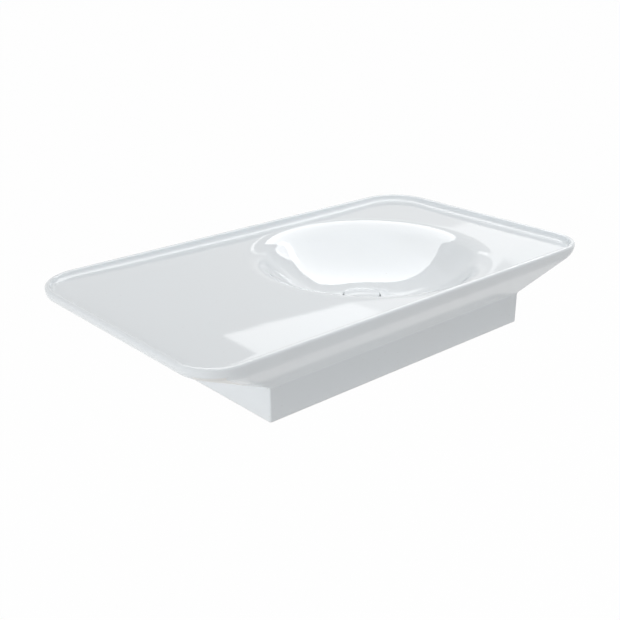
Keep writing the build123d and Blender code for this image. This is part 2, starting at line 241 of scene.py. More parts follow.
def bowl_rings():
    """Floor of the tray, soft edge, bowl and the recess round the waste."""
    reach, angle = about(rim_outline(rim_width + cove), bowl_axis)
    turn = 2 * atan2(bowl_depth, bowl_radius - bowl_flat)
    rings = []
    for share in np.linspace(0, 1, 9)[1:]:
        radius = reach + (bowl_radius - reach) * share
        rings.append(circle_ring(bowl_axis, radius, angle, bowl_drop(radius)))
    for share in np.linspace(0, 1, 15)[1:]:
        radius = np.full(len(angle), bowl_radius - bowl_edge_bend * sin(turn * share))
        rings.append(circle_ring(bowl_axis, radius, angle, bowl_drop(radius)))
    meet = bowl_radius - bowl_edge_bend * sin(turn)
    for share in np.linspace(0, 1, 17)[1:]:
        radius = np.full(len(angle), meet + (recess_surround - meet) * share)
        rings.append(circle_ring(bowl_axis, radius, angle, bowl_drop(radius)))
    lip = recess_radius + recess_round
    for share in np.linspace(0, 1, 8)[1:]:
        centre = bowl_axis + (waste_axis - bowl_axis) * share
        ring = circle_ring(centre, recess_surround + (lip - recess_surround) * share, angle, 0)
        depth = bowl_drop(about(ring[:, :2], bowl_axis)[0])
        rings.append(level_ring(ring[:, :2], depth))
    return rings


def waste_rings():
    """Recess, hole and the thick pad under the bowl."""
    angle = about(rim_outline(rim_width + cove), bowl_axis)[1]
    bowl_bottom = floor_drop + bowl_depth
    seat = bowl_bottom + recess_depth
    pad_bottom = seat + pad_thickness
    stations = []
    for bend in np.radians(np.linspace(0, 90, 5))[1:]:
        radius = recess_radius + recess_round * (1 - sin(bend))
        stations.append((radius, bowl_bottom + recess_round * (1 - cos(bend))))
    stations += [
        (recess_radius, seat),
        (recess_radius - seat_edge, seat),
        (hole_radius + hole_round, seat),
        (hole_radius, seat + hole_round),
        (hole_radius, pad_bottom - hole_round),
        (hole_radius + hole_round, pad_bottom),
        (pad_radius - hole_round, pad_bottom),
        (pad_radius, pad_bottom - hole_round),
        (pad_radius, bowl_bottom + ceramic_wall + hair),
    ]
    return [circle_ring(waste_axis, radius, angle, depth) for radius, depth in stations]


def inside_outline(depth):
    """Inside of the flare at depths below the rim, one for each point."""
    end_turn = slope_turn(end_inset, flare_drop - rim_outer_round, end_bend)
    front_turn = slope_turn(front_inset, flare_drop - rim_outer_round, front_bend)
    low = flare_drop - ceramic_wall * tan(end_turn / 2)
    high = floor_drop - ceramic_wall / 2
    waist = outline(
        tray_length / 2 - end_inset - ceramic_wall,
        front_inset + ceramic_wall - tray_depth,
        -ceramic_wall,
        inner_corner,
        inner_corner,
    )
    top = outline(
        tray_length / 2 - end_inset - ceramic_wall + (low - high) * tan(end_turn),
        front_inset + ceramic_wall - tray_depth - (low - high) * tan(front_turn),
        -ceramic_wall,
        front_corner - ceramic_wall,
        back_corner - ceramic_wall,
    )
    share = np.clip((low - depth) / (low - high), 0, 1)[:, None]
    return waist * (1 - share) + top * share


def underside_rings():
    """Underside of the bowl and floor, inside of the flare and plinth, and the lower edge."""
    count = len(rim_outline(0))
    depth = np.full(count, floor_drop + ceramic_wall)
    for _ in range(level_rounds):
        depth = bowl_drop(about(inside_outline(depth), bowl_axis)[0], ceramic_wall)
    ceiling = inside_outline(depth)
    reach, angle = about(ceiling, bowl_axis)
    rings = []
    start = pad_radius + pad_skirt
    for share in np.linspace(0, 1, 31):
        radius = start + (reach - start) * share
        centre = waste_axis + (bowl_axis - waste_axis) * min(share * 8, 1)
        ring = circle_ring(centre, radius, angle, 0)[:, :2]
        rings.append(level_ring(ring, bowl_drop(about(ring, bowl_axis)[0], ceramic_wall)))
    end_turn = slope_turn(end_inset, flare_drop - rim_outer_round, end_bend)
    waist_depth = flare_drop - ceramic_wall * tan(end_turn / 2)
    for share in np.linspace(0, 1, 9)[1:]:
        level = depth + (waist_depth - depth) * share
        rings.append(level_ring(inside_outline(level), level))
    waist = inside_outline(np.full(count, waist_depth))
    rings.append(level_ring(waist, body_height - foot_round))
    return rings


def outside_rings():
    """Lower edge, plinth, flare and the round outer edge of the rim."""
    wall_inside = ceramic_wall - foot_round
    base = body_height
    rings = []
    for inward in (wall_inside, foot_round):
        points = outline(
            tray_length / 2 - end_inset - inward,
            front_inset + inward - tray_depth,
            -inward,
            max(plinth_corner, inner_corner * (inward - foot_round) / ceramic_wall),
            max(plinth_corner, inner_corner * (inward - foot_round) / ceramic_wall),
        )
        rings.append(level_ring(points, base))
    for bend in np.radians([30, 60, 90]):
        rings.append(skirt_ring(base - foot_round * (1 - cos(bend)), foot_round * (1 - sin(bend))))
    end_turn = slope_turn(end_inset, flare_drop - rim_outer_round, end_bend)
    foot = plinth_bend * tan(end_turn / 2)
    front_turn = slope_turn(front_inset, flare_drop - rim_outer_round, front_bend)
    bend_foot = rim_outer_round + max(end_bend * sin(end_turn), front_bend * sin(front_turn))
    depths = np.concatenate([
        [base - plinth_band],
        np.linspace(flare_drop + foot + 2 * hair, flare_drop - foot, 13),
        np.linspace(flare_drop - foot, bend_foot, 9)[1:],
        rim_outer_round + (bend_foot - rim_outer_round) * np.linspace(1, 0, 19)[1:] ** edge_crowding,
    ])
    rings += [skirt_ring(depth) for depth in depths]
    for bend in np.radians(np.linspace(0, 90, 9)[1:]):
        offset = rim_outer_round * (1 - cos(bend))
        rings.append(level_ring(rim_outline(offset), rim_outer_round * (1 - sin(bend))))
    return rings


def empty_piece(name):
    """Piece that has no points yet."""
    piece = bpy.data.objects.new(name, bpy.data.meshes.new(name))
    scene.collection.objects.link(piece)
    return piece


def ring_mesh(name, rings, closed=True):
    """Piece whose mesh is rings of points joined one to the next, and the last to the first."""
    count = len(rings[0])
    here = np.arange(count)
    beyond = (here + 1) % count
    faces = []
    for k in range(len(rings) if closed else len(rings) - 1):
        low = k * count
        high = (k + 1) % len(rings) * count
        faces.append(np.column_stack([low + here, high + here, high + beyond, low + beyond]))
    piece = empty_piece(name)
    piece.data.from_pydata(np.vstack(rings).tolist(), [], np.vstack(faces).tolist())
    shell = bmesh.new()
    shell.from_mesh(piece.data)
    bmesh.ops.remove_doubles(shell, verts=shell.verts, dist=same_point)
    bmesh.ops.recalc_face_normals(shell, faces=shell.faces)
    shell.to_mesh(piece.data)
    shell.free()
    return piece


def baked(piece):
    """Turn what a piece's modifiers make into its plain mesh."""
    rough = piece.data
    depsgraph = bpy.context.evaluated_depsgraph_get()
    piece.data = bpy.data.meshes.new_from_object(piece.evaluated_get(depsgraph))
    piece.modifiers.clear()
    piece.data.name = piece.name
    bpy.data.meshes.remove(rough)


def drill(piece, radius, spots, low, high):
    """Round holes towards the wall, at spots along it."""
    for x in spots:
        angle = np.linspace(0, 2 * pi, 65)[:-1]
        rings = []
        for reach, y in ((0, low), (radius, low), (radius, high), (0, high)):
            rings.append(np.column_stack([
                x + reach * np.cos(angle),
                np.full(len(angle), y),
                reach * np.sin(angle),
            ]))
        tool = ring_mesh("drill", rings, closed=False)
        cut = piece.modifiers.new("hole", "BOOLEAN")
        cut.object = tool
        cut.operation = "DIFFERENCE"
        baked(piece)
        bpy.data.objects.remove(tool)


def bareness(points):
    """0 where the glaze is full, 1 on the bare foot and back, a value between inside the hollow."""
    depth = rim_top - points[:, 2]
    end = np.array([skirt_inset(level, end_inset, end_bend) for level in depth])
    front = np.array([skirt_inset(level, front_inset, front_bend) for level in depth])
    half_wall = ceramic_wall / 2
    within = np.minimum(
        tray_length / 2 - end - np.abs(points[:, 0]),
        points[:, 1] + tray_depth - front,
    )
    within = np.minimum(within, -points[:, 1])
    below = depth - bowl_drop(about(points[:, :2], bowl_axis)[0])
    inner = (within > half_wall) & (below > half_wall) & (depth < body_height - hair / 2)
    bare = (points[:, 1] > -hair / 10) | (depth > body_height - foot_round * 0.9)
    return np.where(bare, 1.0, np.where(inner, thin_glaze, 0.0))


thin_glaze = 0.55
fixing_places = (-0.140, 0.140)
fixing_hole_radius = 0.0145
basin = ring_mesh(
    "ceramic_basin",
    inner_rim_rings() + bowl_rings() + waste_rings() + underside_rings() + outside_rings(),
)
drill(basin, fixing_hole_radius, fixing_places, -2 * ceramic_wall, ceramic_wall)
basin.data.shade_smooth()
basin.data.set_sharp_from_angle(angle=radians(50))
places = np.array([vertex.co for vertex in basin.data.vertices])
bare = basin.data.attributes.new("bare", "FLOAT", "POINT")
bare.data.foreach_set("value", bareness(places))
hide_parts("basin_body")
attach(basin, "basin")


class Signal:
    """A node's socket that takes part in Python sums as a number does."""

    def __init__(self, wiring, socket):
        self.wiring = wiring
        self.socket = socket

    def maths(self, operation, *terms, clamp=False):
        settings = {"operation": operation, "use_clamp": clamp}
        return self.wiring.node("ShaderNodeMath", settings, dict(enumerate(terms)))

    def __add__(self, other):
        return self.maths("ADD", self, other)

    def __sub__(self, other):
        return self.maths("SUBTRACT", self, other)

    def __mul__(self, other):
        return self.maths("MULTIPLY", self, other)

    def __truediv__(self, other):
        return self.maths("DIVIDE", self, other)

    __radd__ = __add__

    def at_most(self, other):
        return self.maths("MINIMUM", self, other)

    def at_least(self, other):
        return self.maths("MAXIMUM", self, other)

    def ramp(self, low, high):
        """0 at or under low, 1 at or over high."""
        return self.maths("DIVIDE", self - low, high - low, clamp=True)


class Wiring:
    """A node tree in which every node comes from one method."""

    def __init__(self, tree):
        self.tree = tree

    def node(self, kind, settings, sockets, output=0):
        made = self.tree.nodes.new(kind)
        for name, value in settings.items():
            setattr(made, name, value)
        for name, value in sockets.items():
            for part in value if isinstance(value, list) else [value]:
                if isinstance(part, Signal):
                    self.tree.links.new(part.socket, made.inputs[name])
                else:
                    made.inputs[name].default_value = part
        return Signal(self, made.outputs[output]) if len(made.outputs) else None

    def seen_directly(self):
        """1 for rays from the camera, a mirror or through glass, 0 for light that falls on things."""
        seen = 0
        for ray in ("Camera", "Glossy", "Transmission"):
            seen = self.node("ShaderNodeLightPath", {}, {}, f"Is {ray} Ray") + seen
        return seen.at_most(1)


class Finish(Wiring):
    """A material."""

    def __init__(self, name):
        self.material = bpy.data.materials.new(name)
        self.material.use_nodes = True
        super().__init__(self.material.node_tree)
        self.tree.nodes.clear()

    def place(self):
        return self.node("ShaderNodeTexCoord", {}, {}, "Object")

    def noise(self, scale, detail=2.0, stretch=(1, 1, 1)):
        place = self.node("ShaderNodeMapping", {}, {"Vector": self.place(), "Scale": stretch})
        return self.node("ShaderNodeTexNoise", {}, {"Vector": place, "Scale": scale, "Detail": detail})

    def blend(self, factor, first, second):
        """First colour where the factor is 0, second where it is 1."""
        sockets = {0: factor, 6: first, 7: second}
        return self.node("ShaderNodeMix", {"data_type": "RGBA"}, sockets, 2)

    def bump(self, height, distance):
        return self.node("ShaderNodeBump", {}, {"Height": height, "Distance": distance})

    def surface(self, sockets):
        shader = self.node("ShaderNodeBsdfPrincipled", {}, sockets)
        self.node("ShaderNodeOutputMaterial", {}, {"Surface": shader})


def paint(piece, finish):
    """Give a piece one material all over."""
    piece.data.materials.clear()
    piece.data.materials.append(finish.material)


glaze_white = (0.868, 0.910, 0.938, 1)
glaze_shade = (0.862, 0.892, 0.912, 1)
glaze_thin = (0.86, 0.86, 0.85, 1)
thin_shade = (0.80, 0.79, 0.76, 1)
biscuit = (0.74, 0.70, 0.63, 1)
biscuit_shade = (0.66, 0.61, 0.53, 1)
speck_brown = (0.42, 0.36, 0.29, 1)

glaze = Finish("glaze")
edge_wander = glaze.noise(160.0, 3.0)
bare_share = glaze.node("ShaderNodeAttribute", {"attribute_name": "bare"}, {}, "Fac")
thin = bare_share.ramp(0.2, 0.6)
unglazed = (bare_share + (edge_wander - 0.5) * 0.3).ramp(0.72, 0.80)
orange_peel = glaze.noise(85.0, 1.0)
slow_waves = glaze.noise(9.0, 1.0)
grain = glaze.noise(2600.0, 4.0)
cloud = glaze.noise(4.0, 2.0)
speck_field = glaze.noise(420.0, 0.0)
speck = speck_field.ramp(0.84, 0.87)
body_colour = glaze.blend(cloud.ramp(0.35, 0.65) * 0.5, glaze_white, glaze_shade)
body_colour = glaze.blend(speck * 0.3, body_colour, speck_brown)
inner_colour = glaze.blend(grain.ramp(0.4, 0.7), glaze_thin, thin_shade)
shown = glaze.blend(thin, body_colour, inner_colour)
bare_colour = glaze.blend(grain.ramp(0.35, 0.75), biscuit, biscuit_shade)
shown = glaze.blend(unglazed, shown, bare_colour)
height = slow_waves + orange_peel * 0.02 + grain * (thin * 0.15 + unglazed * 0.5)
glaze.surface({
    "Base Color": shown,
    "Roughness": 0.03 + thin * 0.32 + unglazed * 0.5,
    "IOR": 1.52,
    "Normal": glaze.bump(height, 0.00012),
})
paint(basin, glaze)

# Waste body
# A G 1 1/4 basin waste, turned from brass bar and chrome plated. The flange lies in the recess,
# the thread is rolled, and four cast arms inside it carry the push-open cartridge.
mm = 0.001
fit_gap = 0.05 * mm
flange_gasket_thickness = 1.5 * mm
flange_thickness = 2.0 * mm
flange_radius = 32.5 * mm
tail_length = 70.0 * mm
tail_bore = 18.5 * mm
tail_radius = 20.95 * mm
tail_end_radius = 20.6 * mm
tail_core = 19.5 * mm
tail_pitch = 25.4 * mm / 11
underside_seal_height = 8.0 * mm
slip_washer_thickness = 1.5 * mm
back_nut_height = 10.0 * mm
spider_depth = 25.0 * mm
cartridge_radius = 11.0 * mm
hub_wall = 2.5 * mm
arm_height = 8.0 * mm
arm_width = 2.5 * mm
arm_root = 0.9 * mm

seat = rim_top - floor_drop - bowl_depth - recess_depth
pad_low = seat - pad_thickness
flange_low = seat + flange_gasket_thickness
flange_high = flange_low + flange_thickness
tail_low = flange_low - tail_length
seal_low = pad_low - underside_seal_height
nut_high = seal_low - slip_washer_thickness
nut_low = nut_high - back_nut_height
thread_high = seat - 2.0 * mm
end_thread_high = nut_low - 1.7 * mm
shoulder = flange_high - spider_depth
hub_inner = cartridge_radius + fit_gap
hub_outer = hub_inner + hub_wall


def rounded(corners, steps=5):
    """Half section through corners (radius, height, round), each corner rounded with an arc."""
    points = []
    for k, (x, y, bend) in enumerate(corners):
        here = np.array([x, y])
        if bend == 0:
            points.append(here)
            continue
        before = np.array(corners[k - 1][:2]) - here
        after = np.array(corners[(k + 1) % len(corners)][:2]) - here
        before /= np.hypot(*before)
        after /= np.hypot(*after)
        half = np.arccos(np.clip(before @ after, -1, 1)) / 2
        middle = before + after
        centre = here + middle / np.hypot(*middle) * bend / sin(half)
        first = here + before * bend / tan(half) - centre
        last = here + after * bend / tan(half) - centre
        start = atan2(first[1], first[0])
        sweep = (atan2(last[1], last[0]) - start + pi) % (2 * pi) - pi
        for share in np.linspace(0, 1, steps):
            turn = start + sweep * share
            points.append(centre + bend * np.array([cos(turn), sin(turn)]))
    return points


def round_ring(radius, height, centre, steps=96):
    """Level circle, whose height may differ from point to point."""
    angle = np.linspace(0, 2 * pi, steps + 1)[:-1]
    x = centre[0] + radius * np.cos(angle)
    y = centre[1] + radius * np.sin(angle)
    return np.column_stack([x, y, height * np.ones(steps)])


def turned(name, corners, centre=waste_axis, steps=96):
    """Solid turned about an upright axis. Its section may start and end on the axis."""
    rings = [round_ring(radius, height, centre, steps) for radius, height in rounded(corners)]
    return ring_mesh(name, rings, closed=corners[0][0] > 0)


def finished(piece, finish, node, body, crease=35):
    """Shade a piece smooth, paint it, and let it stand for its CAD node."""
    piece.data.shade_smooth()
    piece.data.set_sharp_from_angle(angle=radians(crease))
    paint(piece, finish)
    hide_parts(node)
    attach(piece, body)


def add_block(piece, size, centre, turn, bevel):
    """Add a box with softened edges to a piece, turned about the waste's axis."""
    shell = bmesh.new()
    shell.from_mesh(piece.data)
    made = bmesh.ops.create_cube(shell, size=1)
    place = Matrix.Translation((waste_axis[0], waste_axis[1], 0)) @ Matrix.Rotation(turn, 4, "Z")
    place = place @ Matrix.Translation(centre) @ Matrix.Diagonal((*size, 1))
    bmesh.ops.transform(shell, matrix=place, verts=made["verts"])
    edges = {edge for vertex in made["verts"] for edge in vertex.link_edges}
    bmesh.ops.bevel(shell, geom=list(edges), offset=bevel, segments=2, affect="EDGES", profile=0.5)
    shell.to_mesh(piece.data)
    shell.free()


class Recipe(Wiring):
    """A geometry node tree with named inputs, whose result becomes a piece's plain mesh."""

    def __init__(self, name, inputs):
        super().__init__(bpy.data.node_groups.new(name, "GeometryNodeTree"))
        sockets = self.tree.interface
        sockets.new_socket("Geometry", in_out="OUTPUT", socket_type="NodeSocketGeometry")
        for label, kind in {"Geometry": "Geometry", **inputs, "Material": "Material"}.items():
            sockets.new_socket(label, in_out="INPUT", socket_type="NodeSocket" + kind)
        self.start = self.tree.nodes.new("NodeGroupInput")

    def given(self, label):
        return Signal(self, self.start.outputs[label])

    def result(self, geometry):
        real = self.node("GeometryNodeRealizeInstances", {}, {"Geometry": geometry})
        sockets = {"Geometry": real, "Material": self.given("Material")}
        painted = self.node("GeometryNodeSetMaterial", {}, sockets)
        self.node("NodeGroupOutput", {}, {"Geometry": painted})

    def run(self, piece, finish, values):
        step = piece.modifiers.new("recipe", "NODES")
        step.node_group = self.tree
        wanted = {**values, "Material": finish.material}
        for item in self.tree.interface.items_tree:
            if item.in_out == "INPUT" and item.name in wanted:
                step[item.identifier] = wanted[item.name]
        baked(piece)


def winding_recipe():
    """Adds a bar wound round an upright axis: a thread's ridge, or the wire of a spring."""
    inputs = {
        "Centre X": "Float",
        "Centre Y": "Float",
        "Radius": "Float",
        "Foot": "Float",
        "Top": "Float",
        "Turns": "Float",
        "Closed turns": "Float",
        "Bar width": "Float",
        "Bar height": "Float",
        "Bar corners": "Int",
        "Run-out turns": "Float",
        "Steps": "Int",
    }
    recipe = Recipe("winding", inputs)
    turns = recipe.given("Turns")
    closed = recipe.given("Closed turns")
    bar_height = recipe.given("Bar height")
    line = recipe.node("GeometryNodeCurvePrimitiveLine", {}, {"End": (0, 0, 1)})
    sockets = {"Curve": line, "Count": recipe.given("Steps")}
    line = recipe.node("GeometryNodeResampleCurve", {"mode": "COUNT"}, sockets)
    turn = recipe.node("GeometryNodeSplineParameter", {}, {}) * turns
    angle = turn * (2 * pi)
    active = turns - closed * 2
    free_rise = recipe.given("Top") - recipe.given("Foot") - bar_height * 2 * closed
    rise = bar_height * turn.at_most(closed)
    rise = rise + free_rise / active * (turn - closed).at_least(0).at_most(active)
    rise = rise + bar_height * (turn - closed - active).at_least(0)
    place = recipe.node("ShaderNodeCombineXYZ", {}, {
        "X": recipe.given("Centre X") + recipe.given("Radius") * angle.maths("COSINE", angle),
        "Y": recipe.given("Centre Y") + recipe.given("Radius") * angle.maths("SINE", angle),
        "Z": recipe.given("Foot") + rise,
    })
    path = recipe.node("GeometryNodeSetPosition", {}, {"Geometry": line, "Position": place})
    path = recipe.node("GeometryNodeSetCurveNormal", {"mode": "Z_UP"}, {"Curve": path})
    bar = recipe.node("GeometryNodeCurvePrimitiveCircle", {}, {"Resolution": recipe.given("Bar corners")})
    bar_size = recipe.node("ShaderNodeCombineXYZ", {}, {
        "X": recipe.given("Bar width") * 0.5,
        "Y": bar_height * 0.5,
        "Z": 1.0,
    })
    bar = recipe.node("GeometryNodeTransform", {}, {"Geometry": bar, "Scale": bar_size})
    run_out = recipe.given("Run-out turns")
    fade = (turn / run_out).at_most((turns - turn) / run_out).at_most(1).at_least(0.02)
    sockets = {"Curve": path, "Profile Curve": bar, "Scale": fade, "Fill Caps": True}
    wound = recipe.node("GeometryNodeCurveToMesh", {}, sockets)
    both = recipe.node("GeometryNodeJoinGeometry", {}, {"Geometry": [wound, recipe.given("Geometry")]})
    recipe.result(both)
    return recipe


winding = winding_recipe()


def add_thread(piece, finish, crest, depth, pitch, foot, top, centre=waste_axis):
    """Wind a right-handed thread on a piece, with its crest at a radius."""
    turns = (top - foot) / pitch
    winding.run(piece, finish, {
        "Centre X": float(centre[0]),
        "Centre Y": float(centre[1]),
        "Radius": crest - depth,
        "Foot": foot,
        "Top": top,
        "Turns": turns,
        "Closed turns": 0.0,
        "Bar width": 2 * depth,
        "Bar height": 1.9 * depth,
        "Bar corners": 4,
        "Run-out turns": 0.6,
        "Steps": int(turns * 60),
    })


def metal(name, bright, dull, roughness, marks=0.3):
    """Machined or plated metal with faint turning marks and patchy dulling."""
    finish = Finish(name)
    patches = finish.noise(55.0, 4.0)
    turning = finish.noise(900.0, 2.0, (0.03, 0.03, 1.0))
    rubs = finish.noise(380.0, 3.0, (1.0, 0.12, 0.3))
    wear = patches.ramp(0.35, 0.75)
    finish.surface({
        "Base Color": finish.blend(wear, bright, dull),
        "Metallic": 1.0,
        "Roughness": roughness + wear * (roughness * 0.8) + rubs.ramp(0.5, 0.8) * 0.05,
        "Normal": finish.bump(turning * marks + rubs * 0.2, 0.00004),
    })
    return finish


chrome = metal("chrome_plate", (0.80, 0.81, 0.82, 1), (0.74, 0.75, 0.76, 1), 0.05, 0.1)

waste = turned("chromed_tailpiece", [
    (tail_bore, tail_low, 0.3 * mm),
    (tail_core, tail_low, 0.4 * mm),
    (tail_core, thread_high, 0.2 * mm),
    (tail_radius, thread_high + 0.8 * mm, 0.2 * mm),
    (tail_radius, flange_low, 0.2 * mm),
    (flange_radius, flange_low, 0.3 * mm),
    (flange_radius, flange_high, 0.9 * mm),
    (tail_bore, flange_high, 0.8 * mm),
])
hub = turned("hub", [
    (hub_inner, shoulder - arm_height, 0.4 * mm),
    (hub_outer, shoulder - arm_height, 0.4 * mm),
    (hub_outer, shoulder, 0.4 * mm),
    (hub_inner, shoulder, 0.2 * mm),
])
shell = bmesh.new()
shell.from_mesh(waste.data)
shell.from_mesh(hub.data)
shell.to_mesh(waste.data)
shell.free()
bpy.data.objects.remove(hub)
arm_length = tail_core - hub_outer + 0.1 * mm
for quarter in range(4):
    add_block(
        waste,
        (arm_length, arm_width, arm_height),
        ((hub_outer + tail_core - arm_root) / 2, 0, shoulder - arm_height / 2),
        radians(45 + 90 * quarter),
        0.4 * mm,
    )
for crest, low, high in (
    (tail_radius, nut_low, thread_high - 1.0 * mm),
    (tail_end_radius, tail_low + 1.2 * mm, end_thread_high),
):
    add_thread(waste, chrome, crest, crest - tail_core, tail_pitch, low, high)
finished(waste, chrome, "waste_body", "basin")

# Waste seals
# Two moulded black rubber rings clamp the ceramic between them: a flat one under the flange, and
# a tapered one below whose nose centres the tail in the hole.


def rubber(name, colour, bloom):
    """Moulded rubber: matt, finely pitted, with a pale bloom where it has aged."""
    finish = Finish(name)
    pits = finish.noise(1800.0, 3.0)
    patches = finish.noise(120.0, 3.0)
    finish.surface({
        "Base Color": finish.blend(patches.ramp(0.45, 0.8), colour, bloom),
        "Roughness": 0.62 + patches * 0.2,
        "Normal": finish.bump(pits, 0.00003),
    })
    return finish


black_rubber = rubber("black_rubber", (0.022, 0.022, 0.023, 1), (0.055, 0.054, 0.052, 1))

gasket_bore = tail_radius + 1.0 * mm
gasket_radius = 31.5 * mm
flange_seal = turned("flange_gasket", [
    (gasket_bore, seat, 0.3 * mm),
    (gasket_radius, seat, 0.6 * mm),
    (gasket_radius, flange_low, 0.6 * mm),
    (gasket_bore, flange_low, 0.3 * mm),
])
finished(flange_seal, black_rubber, "flange_seal", "basin")

loose_gap = 0.3 * mm
seal_bore = tail_radius + loose_gap
seal_radius = 31.0 * mm
seal_taper = 3.0 * mm
nose_radius = hole_radius - loose_gap
nose_top = pad_low + 3.0 * mm
underside_seal = turned("tapered_gasket", [
    (seal_bore, seal_low, 0.4 * mm),
    (seal_radius - seal_taper, seal_low, 0.8 * mm),
    (seal_radius, pad_low, 0.5 * mm),
    (nose_radius, pad_low, 0.4 * mm),
    (nose_radius, nose_top, 0.5 * mm),
    (seal_bore, nose_top, 0.3 * mm),
])
finished(underside_seal, black_rubber, "underside_seal", "basin")

# Slip washer
# A thin moulded acetal ring between the rubber and the nut, so that the nut turns without
# twisting the rubber.


def plastic(name, colour, shade, roughness):
    """Moulded plastic: faint flow marks, a fine matt texture and a little wax shine."""
    finish = Finish(name)
    flow = finish.noise(35.0, 2.0)
    texture = finish.noise(2400.0, 2.0)
    scuffs = finish.noise(260.0, 4.0, (1.0, 0.25, 0.6))
    finish.surface({
        "Base Color": finish.blend(flow.ramp(0.35, 0.7), colour, shade),
        "Roughness": roughness + scuffs.ramp(0.5, 0.75) * 0.12,
        "Subsurface Weight": 0.05,
        "Subsurface Radius": (0.001, 0.001, 0.001),
        "Normal": finish.bump(texture * 0.6 + flow * 0.4, 0.00002),
    })
    return finish


white_acetal = plastic("white_acetal", (0.86, 0.86, 0.84, 1), (0.81, 0.81, 0.78, 1), 0.34)

slip_radius = 29.0 * mm
slip_washer = turned("slip_ring", [
    (seal_bore, nut_high, 0.2 * mm),
    (slip_radius, nut_high, 0.5 * mm),
    (slip_radius, seal_low, 0.5 * mm),
    (seal_bore, seal_low, 0.2 * mm),
])
finished(slip_washer, white_acetal, "slip_washer", "basin")

# Back nut
# A large hexagonal brass nut, 54 mm across its flats, that is screwed up the tail and clamps the
# waste to the ceramic.
brass = metal("raw_brass", (0.80, 0.62, 0.33, 1), (0.55, 0.40, 0.21, 1), 0.24)


def hexagon_ring(flats, height, centre, steps=96):
    """Level hexagon with corners on the X axis."""
    angle = np.linspace(0, 2 * pi, steps + 1)[:-1]
    return round_ring(flats / 2 / np.cos(angle % (pi / 3) - pi / 6), height, centre, steps)


def hexagon_nut(name, flats, bore, low, high, centre=waste_axis, steps=96):
    """Hexagonal nut with corners chamfered at 30 degrees and a countersunk bore."""
    angle = np.linspace(0, 2 * pi, steps + 1)[:-1]
    across = flats / 2 / np.cos(angle % (pi / 3) - pi / 6)
    face = flats / 2 * 0.985
    fall = (across - face) * tan(radians(30))
    sink = (high - low) * 0.08
    soft = sink * 0.4
    half = (
        (bore, sink),
        (bore + sink, 0),
        (face - soft, 0),
        (across - (across - face) * 0.9, fall * 0.1),
        (across, fall),
    )
    rings = [round_ring(radius, low + inward, centre, steps) for radius, inward in half]
    rings += [round_ring(radius, high - inward, centre, steps) for radius, inward in half[::-1]]
    return ring_mesh(name, rings)


back_nut_flats = 54.0 * mm
back_nut = hexagon_nut("brass_back_nut", back_nut_flats, tail_radius + fit_gap, nut_low, nut_high)
finished(back_nut, brass, "back_nut", "basin", crease=25)

# Push-open cartridge
# A moulded grey cup with a screwed cap hangs in the hub of the waste. A spring pushes the plunger
# up, and a blue cam ring steps round at each push and latches it.
grey_plastic = plastic("grey_plastic", (0.43, 0.44, 0.45, 1), (0.38, 0.39, 0.40, 1), 0.40)
blue_acetal = plastic("blue_acetal", (0.09, 0.21, 0.50, 1), (0.07, 0.17, 0.44, 1), 0.36)
spring_steel = metal("spring_steel", (0.62, 0.62, 0.63, 1), (0.50, 0.50, 0.51, 1), 0.20)
cup_below_flange = 16.0 * mm
cup_length = 40.0 * mm
cup_wall = 1.8 * mm
cup_floor_thickness = 2.5 * mm
vent_radius = 2.5 * mm
ledge_width = 2.0 * mm
ledge_height = 2.0 * mm
cap_height = 3.0 * mm
cap_spigot = 2.0 * mm
lift = 9.0 * mm
collar_height = 2.5 * mm
rotor_height = 5.5 * mm

cup_top = flange_high - cup_below_flange
cup_low = cup_top - cup_length
cup_bore = cartridge_radius - cup_wall
cup_floor = cup_low + cup_floor_thickness
cap_top = cup_top + cap_height
collar_top = cup_top - cap_spigot - lift - loose_gap
collar_low = collar_top - collar_height
rotor_top = collar_low - loose_gap
rotor_low = rotor_top - rotor_height

housing = turned("cartridge_cup", [
    (vent_radius, cup_low, 0.3 * mm),
    (cartridge_radius, cup_low, 0.9 * mm),
    (cartridge_radius, shoulder, 0.2 * mm),
    (cartridge_radius + ledge_width, shoulder, 0.2 * mm),
    (cartridge_radius + ledge_width, shoulder + ledge_height, 0.4 * mm),
    (cartridge_radius, shoulder + ledge_height, 0.3 * mm),
    (cartridge_radius, cup_top, 0.2 * mm),
    (cup_bore, cup_top, 0.2 * mm),
    (cup_bore, cup_floor, 0.5 * mm),
    (vent_radius, cup_floor, 0.3 * mm),
])
finished(housing, grey_plastic, "cartridge_housing", "basin")

spring_wire = 1.2 * mm
spring_radius = 6.4 * mm
spring = empty_piece("coil_spring")
winding.run(spring, spring_steel, {
    "Centre X": float(waste_axis[0]),
    "Centre Y": float(waste_axis[1]),
    "Radius": spring_radius,
    "Foot": cup_floor + spring_wire / 2,
    "Top": rotor_low - spring_wire / 2,
    "Turns": 7.5,
    "Closed turns": 1.0,
    "Bar width": spring_wire,
    "Bar height": spring_wire,
    "Bar corners": 14,
    "Run-out turns": 0.05,
    "Steps": 420,
})
spring.data.shade_smooth()
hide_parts("plunger_spring")
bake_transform(spring)

